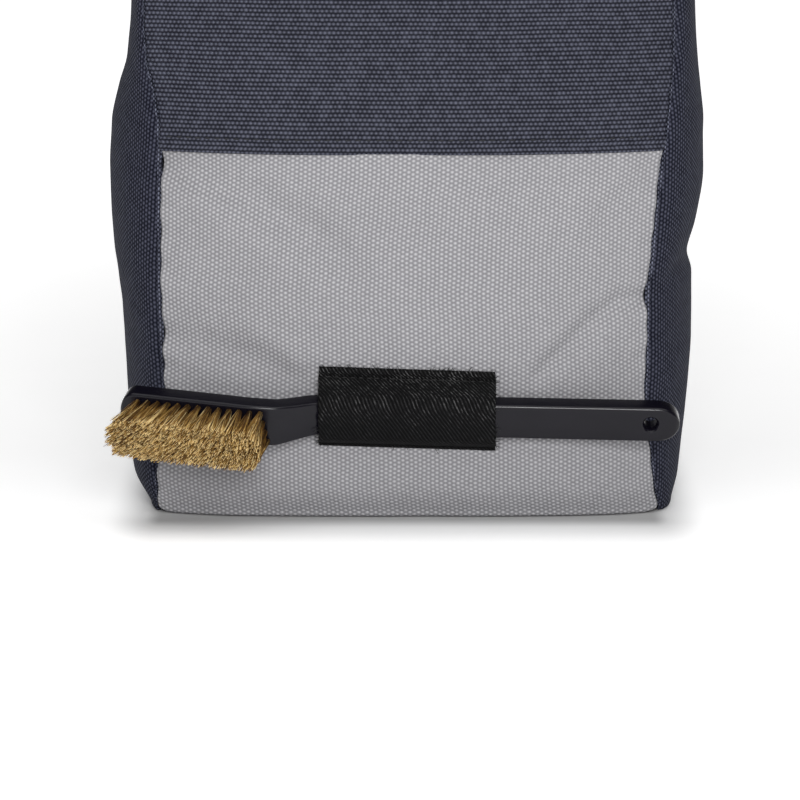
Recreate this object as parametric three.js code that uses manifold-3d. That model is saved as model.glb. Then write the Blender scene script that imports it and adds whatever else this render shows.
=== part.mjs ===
// A climbing chalk bag: a soft, box-like bucket of padded woven cloth that stands on its flat base,
// with its mouth open at the top. Low on its pale front panel an elastic loop holds a bristle brush.
// Millimetres. +X is the bag's right as seen from the front, +Y points to its back, +Z is up.
// The origin is the middle of the base, on the surface that the bag stands on.
import * as THREE from "three";
import { mergeVertices } from "three/addons/utils/BufferGeometryUtils.js";
import Module from "manifold-3d";

const wasm = await Module();
wasm.setup();

// Sizes of the bag
const bag_width = 199.4; // across the fullest part of the two side gussets
const bag_depth = 132; // front to back at the fullest height
const bag_height = 200; // floor to the top of the rim
const wall = 1.8; // padded woven cloth
const base_thickness = 1.7;
const gap = 0.3; // left between two pieces that touch
const pale_top = 120; // height of the seam between the pale panel and the dark band over it
const lap_rise = 0.8; // how far the band's folded lower edge stands proud of the pale panel
const lap_height = 8; // height over which that fold flattens into the band
const hem_height = 14;
const hem_proud = 0.7; // how far the rim's folded hem stands out from the wall, on both its sides
const hem_fold_radius = 1.1;

// Sizes of the elastic loop
const loop_width = 57.1;
const loop_top = 50.4; // height of its upper edge at the middle of the bag
const loop_height = 26;
const loop_cloth = 1.3;
const loop_hem = 3; // flat strip that is stitched to the bag above the brush
const loop_foot = 1.8; // flat strip below the brush
const loop_corner = 2.1; // how closely it bends round the brush
const loop_slant_deg = 1.9;

// Sizes of the brush
const brush_length = 180;
const head_width = 14.8;
const brush_thickness = 6.9;
const brush_edge = 0.8; // rounding of the handle's long edges
const brush_height = 36.1; // height of the handle's middle, at the middle of the bag
const brush_middle = -2.1; // the brush's own middle, across the bag
const brush_slant_deg = 1.25; // the handle's end hangs lower than the head
const brush_droop_deg = 18; // the bristles point forward and down
const neck_forward = 6.8; // how far the neck bends out towards the bristle side
const hole_radius = 2.1;
const sink_radius = 2.7;
const sink_depth = 1.2;
const hole_from_end = 9.4;
const hole_rise = 0.3; // how far the hole sits above the handle's middle
const bristle_length = 17.9;
const bristle_slant = 1.1; // how much shorter the tufts at the head's tip are, and longer at its neck
const tuft_pitch = 3.34;
const tuft_rows_pitch = 3.3;
const tuft_columns = 13;
const tuft_rows = 4;
const tuft_radius = 1.05;
const spread_along = 3.6; // how far the tips of the end tufts splay out beyond their roots
const spread_across = 0.4;
const tuft_stagger = 0.4; // each lower row is rooted further from the head's tip, by this share of its drop
const bristle_merge = 0.5; // share of the length above which the tufts touch each other
const tuft_sink = 0.1; // how much further they reach into the block of tips
const block_squareness = 0.45; // 1 is an oval block of tips, 0 a square one

// The bag's outline at each height, where up is a share of bag_height.
// Widths are shares of half the bag's width: its two front seams and the fullest part of its sides.
const WIDTHS = [
  { up: 0.01, seam_left: 0.823, seam_right: 0.829, side_left: 0.863, side_right: 0.895 },
  { up: 0.05, seam_left: 0.825, seam_right: 0.813, side_left: 0.924, side_right: 0.922 },
  { up: 0.1, seam_left: 0.815, seam_right: 0.802, side_left: 0.936, side_right: 0.931 },
  { up: 0.185, seam_left: 0.794, seam_right: 0.779, side_left: 0.948, side_right: 0.949 },
  { up: 0.27, seam_left: 0.801, seam_right: 0.784, side_left: 0.956, side_right: 0.96 },
  { up: 0.37, seam_left: 0.805, seam_right: 0.784, side_left: 0.977, side_right: 0.96 },
  { up: 0.41, seam_left: 0.806, seam_right: 0.794, side_left: 0.988, side_right: 0.944 },
  { up: 0.46, seam_left: 0.805, seam_right: 0.803, side_left: 0.995, side_right: 0.968 },
  { up: 0.55, seam_left: 0.804, seam_right: 0.821, side_left: 1.001, side_right: 0.997 },
  { up: 0.625, seam_left: 0.805, seam_right: 0.841, side_left: 0.993, side_right: 0.998 },
  { up: 0.685, seam_left: 0.82, seam_right: 0.855, side_left: 0.963, side_right: 0.982 },
  { up: 0.745, seam_left: 0.848, seam_right: 0.865, side_left: 0.928, side_right: 0.969 },
  { up: 0.825, seam_left: 0.857, seam_right: 0.867, side_left: 0.916, side_right: 0.959 },
  { up: 0.925, seam_left: 0.857, seam_right: 0.863, side_left: 0.912, side_right: 0.954 },
  { up: 1, seam_left: 0.855, seam_right: 0.86, side_left: 0.91, side_right: 0.951 },
];

// Depths are shares of half the bag's depth: its seams, and the middle of its front and its back.
// A higher crown is a flatter front with a tighter turn at its seams.
const DEPTHS = [
  { up: 0.01, seam_depth: 0.75, front: 0.885, back: 0.86, crown: 5 },
  { up: 0.05, seam_depth: 0.785, front: 0.938, back: 0.9, crown: 4.6 },
  { up: 0.1, seam_depth: 0.803, front: 0.964, back: 0.92, crown: 4.2 },
  { up: 0.185, seam_depth: 0.811, front: 0.988, back: 0.94, crown: 3.6 },
  { up: 0.27, seam_depth: 0.811, front: 1, back: 0.95, crown: 3.2 },
  { up: 0.37, seam_depth: 0.808, front: 0.997, back: 0.95, crown: 3 },
  { up: 0.41, seam_depth: 0.803, front: 0.992, back: 0.945, crown: 2.9 },
  { up: 0.46, seam_depth: 0.792, front: 0.986, back: 0.94, crown: 2.8 },
  { up: 0.55, seam_depth: 0.77, front: 0.968, back: 0.92, crown: 2.7 },
  { up: 0.625, seam_depth: 0.742, front: 0.944, back: 0.9, crown: 2.6 },
  { up: 0.685, seam_depth: 0.712, front: 0.914, back: 0.87, crown: 2.5 },
  { up: 0.745, seam_depth: 0.675, front: 0.876, back: 0.84, crown: 2.5 },
  { up: 0.825, seam_depth: 0.625, front: 0.818, back: 0.79, crown: 2.4 },
  { up: 0.925, seam_depth: 0.582, front: 0.75, back: 0.73, crown: 2.4 },
  { up: 1, seam_depth: 0.563, front: 0.722, back: 0.71, crown: 2.4 },
];
const gusset_turn = 0.32; // how far the gusset runs sideways before it turns to the back
// How far forward it bulges as it starts, as a share of its width there; below 0 it bends back at once
const gusset_roll = -0.04;
const gusset_round = 0.45; // how much of the depth its widest corners are rounded over
const gusset_wide = 0.2; // share of half the width at which a corner counts as widest

// Soft folds in the pale front panel. Each end is given across, as a share of the way from the middle to
// a seam, and up, as a share of bag_height. rise and spread are shares of half the depth.
const FOLDS = [
  { name: "right valley", from: [0.99, 0.365], to: [0.55, 0.25], rise: -0.026, spread: 0.07 },
  { name: "right puff", from: [0.96, 0.3], to: [0.72, 0.225], rise: 0.026, spread: 0.12 },
  { name: "left ridge", from: [-0.88, 0.52], to: [-0.45, 0.3], rise: 0.02, spread: 0.16 },
  { name: "left hollow", from: [-0.7, 0.56], to: [-0.25, 0.42], rise: -0.014, spread: 0.16 },
  { name: "low left valley", from: [-0.98, 0.285], to: [-0.5, 0.245], rise: -0.02, spread: 0.07 },
];

// The brush's outline. along is a share of its length from the head's tip, width a share of
// head_width, and forward a share of neck_forward towards the bristle side.
const BRUSH_STATIONS = [
  { along: 0, width: 1, forward: -0.15 },
  { along: 0.09, width: 1, forward: 0.27 },
  { along: 0.18, width: 0.99, forward: 0.68 },
  { along: 0.245, width: 0.98, forward: 0.95 },
  { along: 0.27, width: 0.96, forward: 0.97 },
  { along: 0.3, width: 0.88, forward: 0.68 },
  { along: 0.35, width: 0.8, forward: 0.12 },
  { along: 0.39, width: 0.79, forward: 0 },
  { along: 0.7, width: 0.82, forward: 0 },
  { along: 0.92, width: 0.83, forward: 0 },
  { along: 1, width: 0.83, forward: 0 },
];
const bristled_from = 0.0335; // shares of the brush's length between which the tufts stand
const bristled_to = 0.2665;
const head_round = 0.32; // how long the head's round tip is, as a share of head_width
const handle_round = 0.5;
const end_width = 0.15; // a round end stops at this share of its width
const END_CUTS = [0, 0.08, 0.3, 0.6]; // where the round ends are cut, as shares of their length
const edge_limit = 0.45; // an edge is rounded over no more than this share of what is there

// How finely each piece is divided
const FRONT_COLUMNS = 20;
const GUSSET_COLUMNS = 14;
const BACK_COLUMNS = 16;
const PALE_ROWS = 12;
const BAND_ROWS = 8;
const LOOP_STATIONS = 10;
const BRUSH_CUTS = 30;
const CORNER_STEPS = 3;
const HOLE_SIDES = 20;
const TUFT_SIDES = 6;
const BLOCK_SIDES = 24;

const half_width = bag_width / 2;
const half_depth = bag_depth / 2;
const wall_top = bag_height - hem_height - gap;

// A smooth curve through one column of a table, which never overshoots its rows
function columnOf(rows, key, name) {
  const x = rows.map((row) => row[key]);
  const y = rows.map((row) => row[name]);
  const rate = (i) => (y[i + 1] - y[i]) / (x[i + 1] - x[i]);
  const slope = y.map((_, i) => {
    if (i === 0) return rate(0);
    if (i === y.length - 1) return rate(i - 1);
    const before = rate(i - 1);
    const after = rate(i);
    return before * after <= 0 ? 0 : (2 * before * after) / (before + after);
  });
  return (at) => {
    const here = THREE.MathUtils.clamp(at, x[0], x[x.length - 1]);
    let i = 0;
    while (i < x.length - 2 && here > x[i + 1]) i++;
    const span = x[i + 1] - x[i];
    const s = (here - x[i]) / span;
    const rise = (1 + 2 * s) * (1 - s) ** 2 * y[i] + s * s * (3 - 2 * s) * y[i + 1];
    return rise + span * (s * (1 - s) ** 2 * slope[i] - s * s * (1 - s) * slope[i + 1]);
  };
}

// One smooth curve for each column of a table but its key
function curvesOf(rows, key) {
  const names = Object.keys(rows[0]).filter((name) => name !== key);
  return Object.fromEntries(names.map((name) => [name, columnOf(rows, key, name)]));
}

const widths = curvesOf(WIDTHS, "up");
const depths = curvesOf(DEPTHS, "up");
const across = (name, z) => half_width * widths[name](z / bag_height);
const deep = (name, z) => half_depth * depths[name](z / bag_height);
const crownAt = (share, z) => 1 - Math.abs(share) ** depths.crown(z / bag_height);

// How far the folds lift the front panel at a share of the way to a seam, at a height
function foldRise(share, z) {
  const flat = ([across_share, up]) => new THREE.Vector2(across_share * half_width, up * bag_height);
  const here = flat([share, z / bag_height]);
  return FOLDS.reduce((sum, fold) => {
    const [from, to] = [fold.from, fold.to].map(flat);
    const run = to.clone().sub(from);
    const s = THREE.MathUtils.clamp(here.clone().sub(from).dot(run) / run.lengthSq(), 0, 1);
    const away = here.distanceTo(from.addScaledVector(run, s)) / (fold.spread * half_depth);
    return sum + fold.rise * half_depth * Math.exp(-away * away);
  }, 0);
}

// The outer face in plan at height z, each panel counter-clockwise as seen from above. t runs 0 to 1.
function frontPlan(t, z) {
  const left = across("seam_left", z);
  const right = across("seam_right", z);
  const x = -left + t * (left + right);
  const share = x < 0 ? x / left : x / right;
  const seam = deep("seam_depth", z);
  return new THREE.Vector2(x, -seam - (deep("front", z) - seam) * crownAt(share, z) - foldRise(share, z));
}

function backPlan(t, z) {
  const left = across("seam_left", z);
  const right = across("seam_right", z);
  const x = right - t * (left + right);
  const share = x < 0 ? x / left : x / right;
  const seam = deep("seam_depth", z);
  return new THREE.Vector2(x, seam + (deep("back", z) - seam) * crownAt(share, z));
}

function gussetPlan(side, t, z) {
  const seam = across(side > 0 ? "seam_right" : "seam_left", z);
  const full = across(side > 0 ? "side_right" : "side_left", z);
  const depth = deep("seam_depth", z);
  const alongSide = side > 0 ? 2 * t - 1 : 1 - 2 * t; // -1 at the front seam, 1 at the back seam
  const s = 1 - Math.abs(alongSide);
  const wide = full - seam;
  const round = gusset_round * Math.min(1, wide / (gusset_wide * half_width));
  const curve = new THREE.CubicBezierCurve(
    new THREE.Vector2(seam, depth),
    new THREE.Vector2(seam + gusset_turn * wide, depth + gusset_roll * wide),
    new THREE.Vector2(full, depth * (1 - round)),
    new THREE.Vector2(full, 0),
  );
  const point = curve.getPoint(s);
  return new THREE.Vector2(side * point.x, Math.sign(alongSide) * point.y);
}

const PANELS = {
  front: { plan: frontPlan, columns: FRONT_COLUMNS },
  gusset_right: { plan: (t, z) => gussetPlan(1, t, z), columns: GUSSET_COLUMNS },
  back: { plan: backPlan, columns: BACK_COLUMNS },
  gusset_left: { plan: (t, z) => gussetPlan(-1, t, z), columns: GUSSET_COLUMNS },
};

// A point on a panel, moved out along the plan's normal and along the seam's own direction
function panelPoint(panel, t, z, out, along = 0) {
  const step = 1e-3;
  const { plan } = PANELS[panel];
  const before = plan(Math.max(0, t - step), z);
  const after = plan(Math.min(1, t + step), z);
  const tangent = after.sub(before).normalize();
  const point = plan(t, z);
  return new THREE.Vector3(
    point.x + tangent.y * out + tangent.x * along,
    point.y - tangent.x * out + tangent.y * along,
    z,
  );
}

const steps = (count, from = 0, to = 1) =>
  Array.from({ length: count + 1 }, (_, i) => from + ((to - from) * i) / count);

function geometryFrom(points, triangles) {
  const positions = points.flatMap((point) => point.toArray());
  let volume = 0;
  for (const [a, b, c] of triangles) {
    volume += points[a].dot(points[b].clone().cross(points[c]));
  }
  const index = triangles.flatMap(([a, b, c]) => (volume > 0 ? [a, b, c] : [a, c, b]));
  return new THREE.BufferGeometry()
    .setAttribute("position", new THREE.Float32BufferAttribute(positions, 3))
    .setIndex(index);
}

// A closed sheet between an outer and an inner grid of points with the same rows and columns
function sheetSolid(outer, inner) {
  const rows = outer.length;
  const columns = outer[0].length;
  const points = [...outer.flat(), ...inner.flat()];
  const triangles = [];
  const face = (a, b, c, d) => triangles.push([a, b, c], [a, c, d]);
  const out = (r, c) => r * columns + c;
  const back = (r, c) => rows * columns + out(r, c);
  for (let r = 0; r < rows - 1; r++) {
    for (let c = 0; c < columns - 1; c++) {
      face(out(r, c), out(r, c + 1), out(r + 1, c + 1), out(r + 1, c));
      face(back(r, c), back(r + 1, c), back(r + 1, c + 1), back(r, c + 1));
    }
    face(out(r, 0), out(r + 1, 0), back(r + 1, 0), back(r, 0));
    face(out(r + 1, columns - 1), out(r, columns - 1), back(r, columns - 1), back(r + 1, columns - 1));
  }
  for (let c = 0; c < columns - 1; c++) {
    face(out(0, c + 1), out(0, c), back(0, c), back(0, c + 1));
    face(out(rows - 1, c), out(rows - 1, c + 1), back(rows - 1, c + 1), back(rows - 1, c));
  }
  return geometryFrom(points, triangles);
}

// A body through rings of equal counts, closed by a fan at either end or joined into a ring
function loft(rings, closed = false) {
  const count = rings[0].length;
  const points = rings.flat();
  const triangles = [];
  const spans = closed ? rings.length : rings.length - 1;
  for (let r = 0; r < spans; r++) {
    const here = r * count;
    const next = ((r + 1) % rings.length) * count;
    for (let c = 0; c < count; c++) {
      const d = (c + 1) % count;
      triangles.push([here + c, here + d, next + d], [here + c, next + d, next + c]);
    }
  }
  if (!closed) {
    const last = (rings.length - 1) * count;
    for (let c = 1; c < count - 1; c++) {
      triangles.push([0, c + 1, c], [last, last + c, last + c + 1]);
    }
  }
  return geometryFrom(points, triangles);
}

// One wall panel through rows at the given heights. extra(z) thickens its outer face.
function wallPanel(panel, heights, extra = () => 0) {
  const columns = steps(PANELS[panel].columns);
  const edge = (t) => (t === 0 ? gap / 2 : t === 1 ? -gap / 2 : 0);
  const grid = (out) => heights.map((z) => columns.map((t) => panelPoint(panel, t, z, out(z), edge(t))));
  return sheetSolid(grid(extra), grid(() => -wall));
}

// The base lies inside the foot of the walls
function basePanel() {
  const outline = Object.keys(PANELS).flatMap((panel) =>
    steps(PANELS[panel].columns).slice(0, -1).map((t) => PANELS[panel].plan(t, 0).toArray()),
  );
  const inside = new wasm.CrossSection([outline]).offset(-wall - gap, "Miter");
  return geometryOf(inside.extrude(base_thickness));
}

// The rim: the cloth of all four walls folded over into one firm hem
function rimHem() {
  const outside = hem_proud;
  const inside = -wall - hem_proud;
  const low = bag_height - hem_height;
  const profile = [
    { out: outside, z: low },
    { out: outside, z: bag_height - hem_fold_radius },
    { out: outside - hem_fold_radius, z: bag_height },
    { out: inside + hem_fold_radius, z: bag_height },
    { out: inside, z: bag_height - hem_fold_radius },
    { out: inside, z: low },
  ];
  const stations = Object.keys(PANELS).flatMap((panel) =>
    steps(PANELS[panel].columns).slice(1, -1).map((t) => ({ panel, t })),
  );
  return loft(
    stations.map(({ panel, t }) => profile.map((at) => panelPoint(panel, t, at.z, at.out))),
    true,
  );
}

// The brush lies along X in its own frame, with its bristles towards -Y
const brushWidth = columnOf(BRUSH_STATIONS, "along", "width");
const brushForward = columnOf(BRUSH_STATIONS, "along", "forward");
const brushX = (along) => (along - 0.5) * brush_length;

// Narrows the outline into a round end over a length
const roundEnd = (distance, length) =>
  Math.sqrt(Math.max(0, 1 - (1 - Math.min(1, distance / length)) ** 2));

function brushRing(along) {
  const taper =
    roundEnd(along * brush_length, head_round * head_width) *
    roundEnd((1 - along) * brush_length, handle_round * head_width);
  const half_w = Math.max(end_width, taper) * brushWidth(along) * head_width * 0.5;
  const half_t = brush_thickness / 2;
  const edge = Math.min(brush_edge, half_w * edge_limit);
  const middle = -brushForward(along) * neck_forward;
  const slope = (brushForward(along + 1e-3) - brushForward(along - 1e-3)) * neck_forward;
  const lean = Math.atan2(-slope, 2e-3 * brush_length);
  const corners = [
    [half_t, half_w - edge], [half_t - edge, half_w], [edge - half_t, half_w], [-half_t, half_w - edge],
    [-half_t, edge - half_w], [edge - half_t, -half_w], [half_t - edge, -half_w], [half_t, edge - half_w],
  ];
  return corners.map(([y, z]) =>
    new THREE.Vector3(brushX(along) - y * Math.sin(lean), middle + y * Math.cos(lean), z),
  );
}

function manifoldOf(geometry) {
  const bare = geometry.clone().deleteAttribute("normal").deleteAttribute("uv");
  const merged = mergeVertices(bare, 1e-4);
  return new wasm.Manifold(
    new wasm.Mesh({
      numProp: 3,
      vertProperties: new Float32Array(merged.getAttribute("position").array),
      triVerts: new Uint32Array(merged.index.array),
    }),
  );
}

function geometryOf(manifold) {
  const { vertProperties, triVerts } = manifold.getMesh();
  return new THREE.BufferGeometry()
    .setAttribute("position", new THREE.BufferAttribute(new Float32Array(vertProperties), 3))
    .setIndex(new THREE.BufferAttribute(new Uint32Array(triVerts), 1));
}

function brushHandle() {
  const end_share = (head_round * head_width) / brush_length;
  const tail_share = (handle_round * head_width) / brush_length;
  const alongs = [
    ...END_CUTS.map((s) => s * end_share),
    ...steps(BRUSH_CUTS, end_share, 1 - tail_share),
    ...END_CUTS.toReversed().map((s) => 1 - s * tail_share),
  ];
  const body = manifoldOf(loft(alongs.map(brushRing)));
  const reach = brush_thickness + 2;
  const drill = new THREE.CylinderGeometry(hole_radius, hole_radius, reach, HOLE_SIDES);
  const sink = new THREE.CylinderGeometry(hole_radius, sink_radius, sink_depth, HOLE_SIDES);
  const x = brushX(1) - hole_from_end;
  drill.translate(x, 0, hole_rise);
  sink.translate(x, (sink_depth - brush_thickness) / 2 - 0.01, hole_rise);
  return geometryOf(body.subtract(manifoldOf(drill)).subtract(manifoldOf(sink)));
}

// The bristles' outer form: tufts that stand on the head and run together into one block of tips
function brushBristles() {
  const onHead = (along) => new THREE.Vector3(brushX(along), -brushForward(along) * neck_forward, 0);
  const run = onHead(bristled_to).sub(onHead(bristled_from));
  const lean = Math.atan2(run.y, run.x);
  const middle = onHead((bristled_from + bristled_to) / 2);
  const half_long = ((tuft_columns - 1) * tuft_pitch) / 2;
  const half_wide = ((tuft_rows - 1) * tuft_rows_pitch) / 2;
  const rooted = brush_thickness / 2 + gap;
  // A point at places along and across the head, at a share of the bristles' length
  const place = (u, v, share, radius, turn) => {
    const spread = 1 + (spread_along * share) / half_long;
    const widen = 1 + (spread_across * share) / half_wide;
    const length = bristle_length + (bristle_slant * u) / half_long;
    const local = new THREE.Vector3(
      u * spread - tuft_stagger * v * (1 - share) + radius * Math.cos(turn),
      -rooted - share * length,
      v * widen + radius * Math.sin(turn),
    );
    return local.applyAxisAngle(new THREE.Vector3(0, 0, 1), lean).add(middle);
  };
  const turns = (sides) => steps(sides).slice(0, -1).map((s) => s * 2 * Math.PI);
  const tufts = [];
  for (const u of steps(tuft_columns - 1, -half_long, half_long)) {
    for (const v of steps(tuft_rows - 1, -half_wide, half_wide)) {
      const ring = (share, radius) => turns(TUFT_SIDES).map((turn) => place(u, v, share, radius, turn));
      tufts.push(manifoldOf(loft([ring(0, tuft_radius), ring(bristle_merge + tuft_sink, tuft_pitch / 2)])));
    }
  }
  const squarish = (value) => Math.sign(value) * Math.abs(value) ** block_squareness;
  const blockRing = (share, grow) =>
    turns(BLOCK_SIDES).map((turn) => {
      const u = (half_long + grow) * squarish(Math.cos(turn));
      const v = (half_wide + grow) * squarish(Math.sin(turn));
      return place(u, v, share, 0, 0);
    });
  const block = manifoldOf(
    loft([
      blockRing(bristle_merge, tuft_radius),
      blockRing(0.9, tuft_radius * 1.2),
      blockRing(1, tuft_radius * 0.5),
    ]),
  );
  return geometryOf(wasm.Manifold.union([block, ...tufts]));
}

// The front face's depth at a place across the bag, over the seams too
function frontDepthAt(x, z) {
  const left = across("seam_left", z);
  const right = across("seam_right", z);
  const t = THREE.MathUtils.clamp((x + left) / (left + right), 0, 1);
  return frontPlan(t, z).y;
}

// Turns the brush as the loop holds it, and brings it up against the front panel
function brushHolder(handle) {
  const holder = new THREE.Group();
  const [droop, slant] = [brush_droop_deg, brush_slant_deg].map(THREE.MathUtils.degToRad);
  holder.rotation.set(droop, slant, 0, "YXZ");
  holder.position.set(brush_middle, 0, brush_height);
  holder.updateMatrixWorld(true);
  const corner = new THREE.Vector3();
  const positions = handle.getAttribute("position");
  let nearest = Infinity;
  for (let i = 0; i < positions.count; i++) {
    corner.fromBufferAttribute(positions, i).applyMatrix4(holder.matrixWorld);
    nearest = Math.min(nearest, frontDepthAt(corner.x, corner.z) - corner.y);
  }
  holder.position.y = nearest - 1.5 * gap;
  holder.updateMatrixWorld(true);
  return holder;
}

// Rounds each inner corner of a line of points with a short curve
function roundCorners(points, radius) {
  const line = [points[0]];
  for (let i = 1; i < points.length - 1; i++) {
    const before = points[i - 1].clone().sub(points[i]);
    const after = points[i + 1].clone().sub(points[i]);
    const cut = Math.min(radius, before.length() * edge_limit, after.length() * edge_limit);
    const curve = new THREE.QuadraticBezierCurve(
      points[i].clone().addScaledVector(before.normalize(), cut),
      points[i],
      points[i].clone().addScaledVector(after.normalize(), cut),
    );
    line.push(...curve.getPoints(CORNER_STEPS));
  }
  line.push(points[points.length - 1]);
  return line;
}

// The elastic's own inner line at one place across: down the bag, over the brush, back to the bag
function loopLine(x, holder) {
  const drop = x * Math.tan(THREE.MathUtils.degToRad(loop_slant_deg));
  const onBag = (z) => new THREE.Vector2(frontDepthAt(x, z) - gap, z);
  const along = (x - brush_middle) / brush_length + 0.5;
  const half_w = brushWidth(along) * head_width * 0.5;
  const half_t = brush_thickness / 2;
  const overBrush = (y, z) => {
    const point = new THREE.Vector3(brushX(along), y, z).applyMatrix4(holder.matrixWorld);
    return new THREE.Vector2(point.y, point.z);
  };
  const top = loop_top - drop;
  const low = top - loop_height;
  const clear = 1.2 * gap;
  const front = -half_t - brushForward(along) * neck_forward - clear;
  return roundCorners(
    [
      onBag(top),
      onBag(top - loop_hem),
      overBrush(front, half_w + clear),
      overBrush(front, -half_w - clear),
      onBag(low + loop_foot),
      onBag(low),
    ],
    loop_corner,
  );
}

function brushLoop(holder) {
  const stations = steps(LOOP_STATIONS, -loop_width / 2, loop_width / 2);
  const lines = stations.map((x) => ({ x, line: loopLine(x, holder) }));
  const grid = (out) =>
    lines.map(({ x, line }) =>
      line.map((point, i) => {
        const before = line[Math.max(0, i - 1)];
        const after = line[Math.min(line.length - 1, i + 1)];
        const run = after.clone().sub(before).normalize();
        return new THREE.Vector3(x, point.x + out * run.y, point.y - out * run.x);
      }),
    );
  return sheetSolid(grid(loop_cloth), grid(0));
}

const cloth = (color) => new THREE.MeshStandardMaterial({ color, roughness: 0.9, metalness: 0 });
const navy = cloth(0x2c2e3a);
const pale = cloth(0xa1a0a3);
const elastic = cloth(0x1a1a1b);
const plastic = new THREE.MeshStandardMaterial({ color: 0x232326, roughness: 0.3, metalness: 0 });
const hair = new THREE.MeshStandardMaterial({ color: 0xa07c48, roughness: 0.7, metalness: 0 });

const bag = new THREE.Group();

function add(name, geometry, material, parent = bag) {
  const mesh = new THREE.Mesh(geometry, material);
  mesh.name = name;
  parent.add(mesh);
}

const lapOver = (z) => lap_rise * Math.exp(-(((z - pale_top) / lap_height) ** 2));
const pale_rows = steps(PALE_ROWS, 0, pale_top);
const band_rows = steps(BAND_ROWS, pale_top, wall_top);
const full_rows = [...pale_rows, ...band_rows.slice(1)];
add("base_panel", basePanel(), navy);
add("front_panel", wallPanel("front", [...pale_rows.slice(0, -1), pale_top - gap / 2]), pale);
add("front_band", wallPanel("front", [pale_top + gap / 2, ...band_rows.slice(1)], lapOver), navy);
add("gusset_left", wallPanel("gusset_left", full_rows), navy);
add("gusset_right", wallPanel("gusset_right", full_rows), navy);
add("back_panel", wallPanel("back", full_rows), navy);
add("rim_hem", rimHem(), navy);

const handle = brushHandle();
const holder = brushHolder(handle);
bag.add(holder);
add("brush_handle", handle, plastic, holder);
add("brush_bristles", brushBristles(), hair, holder);
add("brush_loop", brushLoop(holder), elastic);

export default bag;
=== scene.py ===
"""The looks of a climbing chalk bag: woven panels, an elastic loop and a bristle brush.

Everything is worked out in millimetres, in the frame of the CAD model, and written in metres.
"""

import math
import random

import bmesh
import bpy
import numpy as np
from mathutils import Matrix, Vector, noise


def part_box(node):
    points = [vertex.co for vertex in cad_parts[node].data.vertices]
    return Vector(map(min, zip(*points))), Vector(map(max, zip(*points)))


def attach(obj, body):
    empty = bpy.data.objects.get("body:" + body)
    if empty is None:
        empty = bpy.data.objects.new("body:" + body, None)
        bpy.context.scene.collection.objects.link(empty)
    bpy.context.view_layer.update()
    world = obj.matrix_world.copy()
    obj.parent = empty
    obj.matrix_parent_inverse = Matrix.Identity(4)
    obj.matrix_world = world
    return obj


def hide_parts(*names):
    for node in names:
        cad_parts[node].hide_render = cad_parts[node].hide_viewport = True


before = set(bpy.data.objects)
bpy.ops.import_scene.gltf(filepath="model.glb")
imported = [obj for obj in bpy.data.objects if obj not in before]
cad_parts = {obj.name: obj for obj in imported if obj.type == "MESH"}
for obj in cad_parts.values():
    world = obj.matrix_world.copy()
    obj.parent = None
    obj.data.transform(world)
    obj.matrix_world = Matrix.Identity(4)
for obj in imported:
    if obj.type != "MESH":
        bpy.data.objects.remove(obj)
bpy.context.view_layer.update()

MM = 0.001


def table(columns, rows):
    """Rows of numbers as dictionaries by the columns' names."""
    return [dict(zip(columns.split(), row)) for row in rows]


# Sizes of the bag, its loop and its brush in millimetres
BAG_WIDTH = 199.4
BAG_DEPTH = 132
BAG_HEIGHT = 200
WALL = 1.8
BASE_THICKNESS = 1.7
GAP = 0.3
PALE_TOP = 120
HEM_HEIGHT = 14
HEM_PROUD = 0.7
LOOP_WIDTH = 57.1
LOOP_TOP = 50.4
LOOP_HEIGHT = 26
LOOP_CLOTH = 1.3
LOOP_HEM = 3
LOOP_FOOT = 1.8
LOOP_CORNER = 2.1
LOOP_SLANT = math.radians(1.9)
BRUSH_LENGTH = 180
HEAD_WIDTH = 14.8
BRUSH_THICKNESS = 6.9
BRUSH_EDGE = 1.2
BRUSH_HEIGHT = 36.1
BRUSH_MIDDLE = -2.1
BRUSH_SLANT = math.radians(1.25)
BRUSH_DROOP = math.radians(18)
NECK_FORWARD = 6.8
HOLE_RADIUS = 2.1
SINK_RADIUS = 2.7
SINK_DEPTH = 1.2
HOLE_FROM_END = 9.4
HOLE_RISE = 0.3
BRISTLE_LENGTH = 17.9
BRISTLE_SLANT = 1.1
TUFT_PITCH = 3.34
TUFT_ROWS_PITCH = 3.3
TUFT_COLUMNS = 13
TUFT_ROWS = 4
SPREAD_ALONG = 3.6
SPREAD_ACROSS = 0.4
SWEPT_TO_TIP = 3.2
TUFT_STAGGER = 0.25
STRIP_WIDTH = 2.7
STRIP_PROUD = 0.45
STITCH_UP = 4.2
STITCH_PITCH = 3.3
HEM_FOOT = BAG_HEIGHT - HEM_HEIGHT
HEM_STITCH_UP = HEM_FOOT + 2.6
LOOP_STITCH_DOWN = 3.9
BASE_INSET = -5.5
CLOTH_STITCH = dict(pitch=STITCH_PITCH, length=2.3, radius=0.3, sink=0.12)
LOOP_STITCH = dict(pitch=2.6, length=1.8, radius=0.24, sink=0.2)

# The cloths' widths as sewn, and the steps of their meshes
FRONT_CLOTH_WIDTH = 170.0
GUSSET_CLOTH_WIDTH = 126.0
FRONT_STEP = 1.0
GUSSET_STEP = 1.3
BACK_STEP = 1.5
OUTLINE_POINTS = 520
LOW_EDGE = 1.2
FOLDED_EDGE = 0.8

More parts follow.
